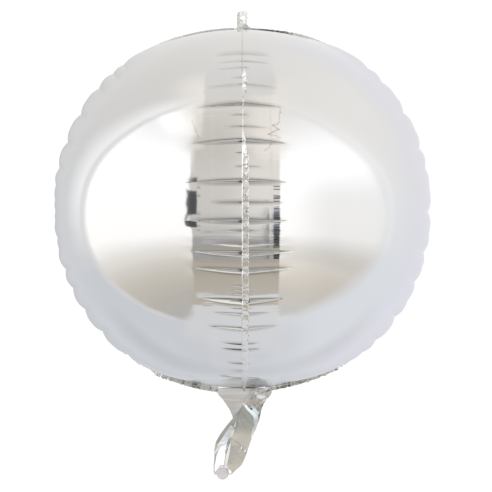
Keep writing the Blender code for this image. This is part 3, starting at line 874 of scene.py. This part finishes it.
FOIL_COLOR = (0.745, 0.745, 0.75)
TAIL_COLOR = (0.63, 0.695, 0.735)
LOW_TAIL_COLOR = (0.93, 0.945, 0.99)
MOUTH_COLOR = (0.85, 0.86, 0.87)
CRUMPLED_SHADE_COLOR = (0.60, 0.61, 0.62)
BENEATH_COLOR = (0.95, 0.98, 1.0)
HUMP_SHADE_COLOR = (0.36, 0.37, 0.40)
CREASE_SHADE_COLOR = (0.10, 0.095, 0.09)
CREASE_HIGHLIGHT_COLOR = (1.0, 1.0, 0.99)
# Heights in mm, each with the height where the change is complete
TAIL_TOP = -191.7
TAIL_TONE = (-196.0, -206.0)
LOW_TAIL = (-234.0, -245.0)
LOW_LOBE = (-250.0, -258.0)
BENEATH = (-168.0, -180.0)
BENEATH_END = (-197.0, -194.0)
# The mouth ends at a fold that slants down to the left by this slope.
MOUTH_FOLD = (-214.5, -208.5)
MOUTH_SLANT = -1.215
# Painted shade on gathered film on the right above the tail: its middle, half-width and half-height in mm
HUMP_MIDDLE = (14.5, 0.0, -186.0)
HUMP_HALF_WIDTH = 13.0
HUMP_HALF_HEIGHT = 14.5
# Painted shade along short creases at the edges of the front's flat band, then on the tail, and painted
# highlights. Columns: sideways place and height of the start and of the end in mm, and how dark the painted
# shade is, or how bright the painted highlight where it is below zero.
LOOSE_CREASE_SHADING = (
    (36.6, 97.8, 36.6, 93.0, 0.2),
    (36.6, 93.0, 35.2, 84.8, 0.3),
    (35.9, 82.7, 29.7, 79.3, 0.4),
    (29.7, 79.3, 35.2, 75.9, 0.35),
    (35.2, 75.9, 24.9, 71.1, 0.4),
    (24.9, 71.1, 36.6, 67.7, 0.25),
    (27.7, 61.5, 21.5, 54.7, 0.25),
    (-48.2, 84.8, -41.4, 68.4, 0.25),
    (8.6, -203.7, 17.2, -197.8, 0.4),
    (17.2, -197.8, 30.0, -194.1, 0.5),
    (12.9, -210.2, 25.7, -201.6, 0.5),
    (16.1, -215.5, 22.5, -209.1, 0.4),
    (1.6, -205.9, 10.7, -192.5, 0.2),
    (18.7, -201.7, 24.9, -200.0, -0.9),
    (12.4, -206.9, 15.0, -208.8, -0.8),
    (14.6, -211.6, 18.9, -207.4, -0.6),
    (0.9, -210.6, -3.5, -218.5, 0.25),
    (-3.5, -218.5, -6.2, -239.8, 0.17),
    (0.9, -220.3, 11.6, -231.9, 0.15),
    (-0.9, -227.3, 6.2, -239.8, 0.12),
    (-5.4, -229.3, -4.1, -234.5, -0.9),
    (-9.8, -242.6, -13.3, -248.8, -0.7),
    (-6.4, -225.7, -24.0, -240.0, 0.12),
    (-11.5, -246.9, 3.5, -257.7, 0.2),
    (0.0, -256.3, 2.1, -258.4, -1.0),
    (-17.7, -250.5, -19.5, -278.8, 0.2),
    (-29.3, -262.7, -18.7, -248.8, 0.15),
    (-28.0, -266.0, -21.5, -256.0, -0.7),
    (-8.6, -262.7, 1.0, -270.0, 0.1),
    (-14.0, -270.0, -9.6, -278.0, 0.12),
)
LOOSE_CREASE_MM = 1.3
LOOSE_SWAY_MM = 3.5
# Painted shade in dark ticks down the flat band's edges. Columns: sideways start and end, bottom and top in
# mm, strength.
SHADE_TICKS = (
    (-43.5, -38.5, -27.0, 24.0, 0.35),
    (28.8, 36.8, 8.0, 23.0, 0.9),
    (28.8, 36.8, -30.0, -26.0, 0.9),
)
STRIPES_PER_METRE = (14.0, 14.0, 330.0)
RIPPLE_SHARE = 0.25
EDGE_RIPPLE_SHARE = 0.55
CRUMPLE_SHARE = 1.3


@cache
def foil_material():
    """Metallised film: a mirror with a faint haze and very fine ripples."""
    material, shader, nodes = principled("foil", FOIL_COLOR, 1.0, 0.06)
    place = nodes.add("ShaderNodeTexCoord").outputs["Object"]
    place_mm = nodes.scale(place, 1.0 / MM)
    sideways, depth, height = nodes.split(place_mm)
    from_middle = nodes.math("ABSOLUTE", sideways)
    front = nodes.math("LESS_THAN", depth, 0.0)
    tail = nodes.math("LESS_THAN", height, TAIL_TOP)
    # The tail's mouth is crumpled too finely to mirror, most of all on its right, which gets painted shade
    # too. The film above it is dull
    slant = nodes.plus(height, nodes.math("MINIMUM", sideways, 0.0), MOUTH_SLANT)
    mouth = nodes.times(nodes.step(slant, *MOUTH_FOLD), tail)
    right = nodes.times(nodes.step(sideways, 4.0, 12.0), mouth)
    crumple = nodes.noise(place, 210.0)["Fac"]
    beneath = nodes.where((height, *BENEATH), (height, *BENEATH_END), (from_middle, 55.0, 32.0))
    beneath = nodes.times(beneath, nodes.math("SUBTRACT", 1.0, mouth))
    haze = nodes.step(nodes.noise(place, 28.0, 4.0)["Fac"], 0.3, 0.75, 0.045, 0.10)
    haze = nodes.plus(haze, beneath, 0.30)
    nodes.put(shader.inputs["Roughness"], nodes.plus(haze, mouth, 0.22))
    # The tail's low end is lighter, but for its left lobe
    low = nodes.math("MAXIMUM", nodes.step(sideways, -14.0, -10.0), nodes.step(height, *LOW_LOBE))
    from_hump = nodes.vector("MULTIPLY", nodes.vector("SUBTRACT", place_mm, HUMP_MIDDLE),
                             (1.0 / HUMP_HALF_WIDTH, 0.0, 1.0 / HUMP_HALF_HEIGHT))
    hump_shade = nodes.where((nodes.vector("DOT_PRODUCT", from_hump, from_hump), 1.15, 0.75),
                       (crumple, 0.38, 0.62, 0.25, 0.95))
    color = FOIL_COLOR
    for share, paint in (
        (nodes.step(height, *TAIL_TONE), TAIL_COLOR),
        (nodes.times(low, nodes.step(height, *LOW_TAIL)), LOW_TAIL_COLOR),
        (mouth, MOUTH_COLOR),
        # Painted shade on the crumpled right of the mouth
        (nodes.times(right, 0.8), CRUMPLED_SHADE_COLOR),
        (nodes.times(beneath, 0.9), BENEATH_COLOR),
        # Painted shade on the gathered hump above the tail
        (nodes.times(hump_shade, front, nodes.math("SUBTRACT", 1.0, tail)), HUMP_SHADE_COLOR),
    ):
        color = nodes.mix(share, color, paint)
    # Painted shade (above zero) and painted highlight (below zero) along the puckers' folds, then along
    # loose creases and ticks
    crease = nodes.add("ShaderNodeAttribute", attribute_name="crease").outputs["Fac"]
    shown = nodes.math("MAXIMUM", front, tail)
    sway = nodes.vector("SUBTRACT", nodes.noise(place, 260.0)["Color"], (0.5, 0.5, 0.5))
    swayed = nodes.vector("ADD", place_mm, nodes.scale(sway, LOOSE_SWAY_MM))
    flat = nodes.vector("MULTIPLY", swayed, (1.0, 0.0, 1.0))
    for start_x, start_z, end_x, end_z, strength in LOOSE_CREASE_SHADING:
        span = Vector((end_x - start_x, 0.0, end_z - start_z))
        offset = nodes.vector("SUBTRACT", flat, (start_x, 0.0, start_z))
        share = nodes.vector("DOT_PRODUCT", offset, span / span.length_squared)
        nearest = nodes.scale(span, nodes.math("MULTIPLY", share, 1.0, clamp=True))
        line = nodes.step(nodes.vector("DISTANCE", offset, nearest), LOOSE_CREASE_MM, 0.0, 0.0, strength)
        crease = nodes.plus(crease, line, shown)
    stripes = nodes.noise(nodes.vector("MULTIPLY", place, STRIPES_PER_METRE), 1.0, 3.0)["Fac"]
    for start, end, bottom, top, strength in SHADE_TICKS:
        tick = nodes.where((sideways, start, start + 1.5), (sideways, end, end - 1.5), (stripes, 0.52, 0.60),
                           (height, bottom, bottom + 2.0), (height, top, top - 2.0, 0.0, strength))
        crease = nodes.math("MAXIMUM", crease, nodes.times(tick, front))
    # Painted highlight where the crease value is below zero, painted shade where it is above
    color = nodes.mix(nodes.math("MULTIPLY", crease, -1.0, clamp=True), color, CREASE_HIGHLIGHT_COLOR)
    color = nodes.mix(nodes.math("MULTIPLY", crease, 0.85, clamp=True), color, CREASE_SHADE_COLOR)
    nodes.put(shader.inputs["Base Color"], color)
    # Faint level ripples beside the seams
    across = nodes.math("MINIMUM", from_middle, nodes.math("ABSOLUTE", depth))
    edge = nodes.where((across, 25.0, 31.0), (across, 41.0, 34.0))
    beside = nodes.plus(nodes.step(across, 46.0, 12.0, 0.0, RIPPLE_SHARE), edge, EDGE_RIPPLE_SHARE)
    fine = nodes.times(nodes.noise(place, 160.0)["Fac"], 0.05)
    fine = nodes.plus(fine, crumple, nodes.times(right, CRUMPLE_SHARE))
    nodes.bump(shader, nodes.plus(fine, stripes, beside), 1.0, 0.0004)
    return material


MARGIN_COLOR = (0.80, 0.80, 0.79)
CRINKLE_SHADE_COLOR = (0.20, 0.185, 0.17)
GATHER_SHADE_COLOR = (0.36, 0.375, 0.42)
UNDER_TAB = (203.5, 200.5)


@cache
def margin_material():
    """Two films sealed together: duller than the foil, with the small hard creases of the sealing bar."""
    material, shader, nodes = principled("sealed_margin", MARGIN_COLOR, 1.0, 0.16)
    place = nodes.add("ShaderNodeTexCoord").outputs["Object"]
    sideways, _, height = nodes.split(nodes.scale(place, 1.0 / MM))
    cells = nodes.add("ShaderNodeTexVoronoi", feature="F1")
    nodes.fill(cells, ("Vector", "Scale"), (place, 420.0))
    cell = cells.outputs["Distance"]
    nodes.put(shader.inputs["Roughness"], nodes.step(cell, 0.1, 0.8, 0.10, 0.26))
    # Dark specks of painted shade in the crinkles are dense only at the bottom and on the right of the top,
    # where they run together
    top = nodes.where((height, 165.0, 175.0), (height, *UNDER_TAB), (sideways, 15.5, 19.0),
                      (sideways, 62.0, 46.0, 0.15, 1.0))
    ends = nodes.math("MAXIMUM", top, nodes.step(height, -165.0, -178.0))
    share = nodes.plus(nodes.step(height, *UNDER_TAB, 0.0, 0.12), ends, 0.68)
    low_right = nodes.where((sideways, 24.0, 32.0), (sideways, 85.0, 55.0), (height, -150.0, -165.0))
    speck = nodes.plus(nodes.noise(place, 190.0, 3.0, 1.2)["Fac"], top, 0.16)
    speck = nodes.plus(speck, low_right, 0.09)
    crinkle_shade = nodes.times(nodes.step(speck, 0.55, 0.63), share)
    # Painted shade on the gathered film, most of all on its right
    gather_shade = nodes.where((sideways, -3.0, 6.0, 0.3, 0.8), (sideways, 19.0, 12.0), (height, 200.0, 197.0),
                        (height, 185.0, 188.0))
    color = nodes.mix(gather_shade, MARGIN_COLOR, GATHER_SHADE_COLOR)
    nodes.put(shader.inputs["Base Color"], nodes.mix(crinkle_shade, color, CRINKLE_SHADE_COLOR))
    nodes.bump(shader, cell, 0.35, 0.0006)
    return material


@cache
def clear_material():
    material, shader, nodes = principled("clear_film", (0.68, 0.655, 0.66), 0.0, 0.10)
    nodes.fill(shader, ("Alpha", "IOR"), (0.85, 1.5))
    haze = nodes.noise(nodes.add("ShaderNodeTexCoord").outputs["Object"], 220.0)["Fac"]
    nodes.put(shader.inputs["Roughness"], nodes.step(haze, 0.3, 0.7, 0.06, 0.2))
    return material


MATERIALS = {"foil": foil_material, "sealed_margin": margin_material, "clear_film": clear_material}

# Studio light. Columns: elevation, level and warmth.
FRONT_LEVELS = (
    (-90, 0.86, -0.02), (-74, 0.86, -0.02), (-64, 0.86, -0.01), (-57, 0.84, 0.0), (-53, 0.58, 0.14),
    (-35, 0.52, 0.16), (-28, 0.45, 0.11), (-24, 0.45, 0.03), (-20, 0.48, 0.02), (-14, 0.74, 0.04),
    (0, 0.84, 0.06), (21, 0.86, 0.06), (32, 0.80, 0.07), (43, 0.80, 0.08), (67, 0.85, 0.06),
    (90, 0.88, 0.02))
SIDE_LEVELS = (
    (-90, 0.74, -0.03), (-64, 0.84, -0.02), (-60, 0.62, 0.04), (-48, 0.64, 0.10), (-38, 0.72, 0.12),
    (-28, 0.86, 0.08), (-22, 1.00, 0.05), (-14, 1.32, 0.02), (28, 1.42, 0.0), (42, 1.22, 0.01),
    (56, 1.02, 0.03), (70, 0.92, 0.04), (90, 0.85, 0.02))
AROUND_LEVELS = (
    (-90, 0.78, -0.03), (-74, 0.78, -0.04), (-58, 0.84, -0.05), (-20, 0.84, -0.05), (0, 0.86, -0.02),
    (40, 0.90, 0.03), (60, 0.90, 0.035), (90, 0.87, 0.02))
COOL_COLOR = (0.90, 0.89, 0.98)
GLOW_COLOR = (1.22, 1.215, 1.21)
LINE_COLOR = (0.88, 0.87, 0.87)
FLAG_COLOR = (0.055, 0.060, 0.066)
PALER_FLAG_COLOR = (0.20, 0.23, 0.30)
FLAG_SHARE = 0.93
BACKDROP_LEVEL = 1.05
# The wall opening round each soft light ends at these azimuths at its widest, and sooner above and below it.
OPENING_LEFT = 111.0
OPENING_RIGHT = 96.0
OPENING_MIDDLE = -6.0
OPENING_CURVE = 0.012


def levels(nodes, elevation, table):
    """A ramp over elevation through a table's levels, each tinted by its warmth."""
    node = nodes.add("ShaderNodeValToRGB")
    elements = node.color_ramp.elements
    while len(elements) < len(table):
        elements.new(0.5)
    for element, (degrees, level, warmth) in zip(elements, table):
        element.position = (degrees + 90.0) / 180.0
        element.color = (level * (1.0 + 0.6 * warmth), level, level * (1.0 - warmth), 1.0)
    nodes.put(node.inputs[0], nodes.plus(0.5, elevation, 1.0 / 180.0))
    return node.outputs[0]


def build_world():
    """Soft light from both sides of a pale room, a beige-grey front, and white for the camera itself."""
    world = bpy.data.worlds.new("studio")
    world.use_nodes = True
    bpy.context.scene.world = world
    world.node_tree.nodes.clear()
    nodes = Nodes(world.node_tree)
    x, y, z = nodes.split(nodes.add("ShaderNodeTexCoord").outputs["Generated"])
    degrees = math.degrees(1.0)
    turn = nodes.math("ARCTAN2", x, nodes.times(y, -1.0))
    azimuth = nodes.math("ABSOLUTE", nodes.times(turn, degrees))
    elevation = nodes.times(nodes.math("ARCSINE", z), degrees)
    # Surroundings, a little brighter on the right. The back is darker low on the left, cooler on the right
    around = nodes.scale(levels(nodes, elevation, AROUND_LEVELS), nodes.step(x, -0.9, 0.9, 0.93, 1.14))
    around = nodes.vary(around, (-0.18, (y, 0.72, 0.94), (nodes.plus(x, z), 0.35, -0.14)),
                        (-0.13, (y, 0.30, 0.55), (z, -0.45, -0.75)))
    around = nodes.mix(nodes.where((y, 0.35, 0.75), (x, 0.05, 0.3, 0.0, 0.5)), around, COOL_COLOR)
    # The front is brighter on the right, and lightens high up towards the soft lights
    brighter = nodes.where((x, -0.12, 0.12, -0.10, 0.10), (elevation, 70.0, 45.0),
                           (elevation, -22.0, -12.0, 0.2, 1.0))
    left_flank, right_flank = nodes.step(x, -0.16, -0.30, 0.0, 0.24), nodes.step(x, -0.02, 0.12, 0.0, 0.21)
    flank = nodes.math("MAXIMUM", left_flank, right_flank)
    flank_start, flank_end = nodes.step(x, 0.0, 0.1, 36.0, 24.0), nodes.step(x, 0.0, 0.1, 44.0, 34.0)
    flank_share = nodes.where((elevation, 78.0, 68.0), (elevation, flank_start, flank_end))
    brighter = nodes.plus(nodes.plus(1.0, brighter), flank, flank_share)
    front = nodes.scale(levels(nodes, elevation, FRONT_LEVELS), brighter)
    # Soft lights, with where they are brighter or dimmer
    soft = nodes.vary(
        levels(nodes, elevation, SIDE_LEVELS),
        (0.35, (x, -0.30, -0.45), (x, -0.72, -0.60), (azimuth, 92.0, 70.0), (elevation, 70.0, 60.0),
         (elevation, 38.0, 50.0)),
        (-0.16, (x, 0.45, 0.85), (azimuth, 106.0, 90.0), (elevation, 24.0, 4.0)),
        (1.0, (elevation, -24.0, -34.0), (x, -0.3, 0.3, -0.06, 0.18)),
    )
    # Glow and shadow line at the opening's edge
    above = nodes.plus(-OPENING_MIDDLE, elevation)
    widest = nodes.step(x, -0.1, 0.1, OPENING_LEFT, OPENING_RIGHT)
    edge = nodes.plus(widest, nodes.times(above, above), -OPENING_CURVE)
    beyond = nodes.math("SUBTRACT", azimuth, edge)
    glow = nodes.where((beyond, 26.0, 0.0), (elevation, -26.0, 10.0), (x, 0.1, -0.1, 0.25, 0.9))
    around = nodes.mix(glow, around, GLOW_COLOR)
    softness = nodes.step(x, -0.1, 0.1, 1.5, 11.0)
    room = nodes.mix(nodes.step(beyond, softness, nodes.times(softness, -1.0)), around, soft)
    line = nodes.where((beyond, -4.5, -1.0), (beyond, 5.0, 1.0), (x, 0.1, -0.1, 0.25, 0.75))
    room = nodes.mix(line, room, LINE_COLOR)
    # The front reaches less far to the right than to the left, and further on both sides high up
    left_end = nodes.step(elevation, -7.0, -15.0, -0.49, -0.43)
    middle = nodes.where((nodes.math("SUBTRACT", x, left_end), -0.03, 0.03), (x, 0.32, 0.27))
    broad = nodes.where((x, -0.62, -0.30), (x, 0.55, 0.20))
    wider = nodes.math("SUBTRACT", broad, middle)
    front_share = nodes.plus(middle, wider, nodes.step(elevation, 14.0, 40.0))
    front_share = nodes.times(front_share, nodes.step(y, 0.25, -0.1))
    room = nodes.mix(front_share, room, front)
    # Dark flags between the front and the soft lights
    left = nodes.where((nodes.math("ABSOLUTE", nodes.plus(-2.85, elevation)), 11.6, 9.1),
                       (x, -0.57, -0.54), (x, -0.26, -0.31))
    right = nodes.where((nodes.math("ABSOLUTE", nodes.plus(12.5, elevation)), 15.5, 13.0),
                        (x, 0.09, 0.125), (x, 0.31, 0.27))
    shade = nodes.mix(nodes.where((x, 0.0, 0.05), (elevation, -9.0, -6.0)), FLAG_COLOR, PALER_FLAG_COLOR)
    flag = nodes.times(nodes.math("MAXIMUM", left, right), nodes.step(y, 0.1, -0.1), FLAG_SHARE)
    room = nodes.mix(flag, room, shade)
    studio, white = (nodes.add("ShaderNodeBackground") for _ in range(2))
    nodes.fill(studio, ("Color", "Strength"), (room, 1.0))
    nodes.fill(white, ("Color", "Strength"), ((1.0, 1.0, 1.0), BACKDROP_LEVEL))
    choose = nodes.add("ShaderNodeMixShader")
    camera_ray = nodes.add("ShaderNodeLightPath").outputs["Is Camera Ray"]
    nodes.fill(choose, range(3), (camera_ray, studio.outputs[0], white.outputs[0]))
    nodes.put(nodes.add("ShaderNodeOutputWorld").inputs["Surface"], choose.outputs[0])


FLOOR_RADIUS = 4.0
FLOOR_HEIGHT = -1.8


def build_floor():
    """A pale round floor well below the tail."""
    bpy.ops.mesh.primitive_circle_add(vertices=96, radius=FLOOR_RADIUS, fill_type="NGON",
                                      location=(0.0, 0.0, FLOOR_HEIGHT))
    floor = bpy.context.object
    floor.name = "floor"
    material, shader, nodes = principled("floor", (0.85, 0.85, 0.85), 0.0, 0.8)
    nodes.fill(shader, ("Emission Color", "Emission Strength"), ((1.0, 1.0, 1.0), 0.35))
    floor.data.materials.append(material)
    floor.visible_glossy = False


# Camera: level, facing the front seam. The photograph's frame is 492 pixels, its envelope 376 pixels wide
# with its centre at pixel 242, 209.
FRAME_PX = 492.0
CENTRE_PX = (242.0, 209.0)
HALF_WIDTH_PX = 188.0
HALF_WIDTH_M = 0.2000
CAMERA_DISTANCE = 1.60
SENSOR_MM = 36.0


def build_camera():
    seen = HALF_WIDTH_M / math.sqrt(1.0 - (HALF_WIDTH_M / CAMERA_DISTANCE) ** 2)
    metres_per_px = seen / HALF_WIDTH_PX
    data = bpy.data.cameras.new("camera")
    data.sensor_width = SENSOR_MM
    data.lens = SENSOR_MM * CAMERA_DISTANCE / (FRAME_PX * metres_per_px)
    camera = bpy.data.objects.new("camera", data)
    bpy.context.scene.collection.objects.link(camera)
    camera.location = (0.0, -CAMERA_DISTANCE, 0.0)
    camera.rotation_euler = (math.pi / 2.0, 0.0, 0.0)
    data.shift_x = 0.5 - CENTRE_PX[0] / FRAME_PX
    data.shift_y = CENTRE_PX[1] / FRAME_PX - 0.5
    bpy.context.scene.camera = camera


def main():
    bpy.context.scene.view_settings.view_transform = "Standard"
    draw = np.random.default_rng(11)
    sides = [[puckers_of(seam[2], to_right, draw) for to_right in (False, True)] for seam in SEAMS]
    for number in range(4):
        add_gore(number, sides)
        add_margin(number, sides, draw)
    add_tail(draw)
    add_tab(draw)
    add_gather(draw)
    build_world()
    build_floor()
    build_camera()


main()
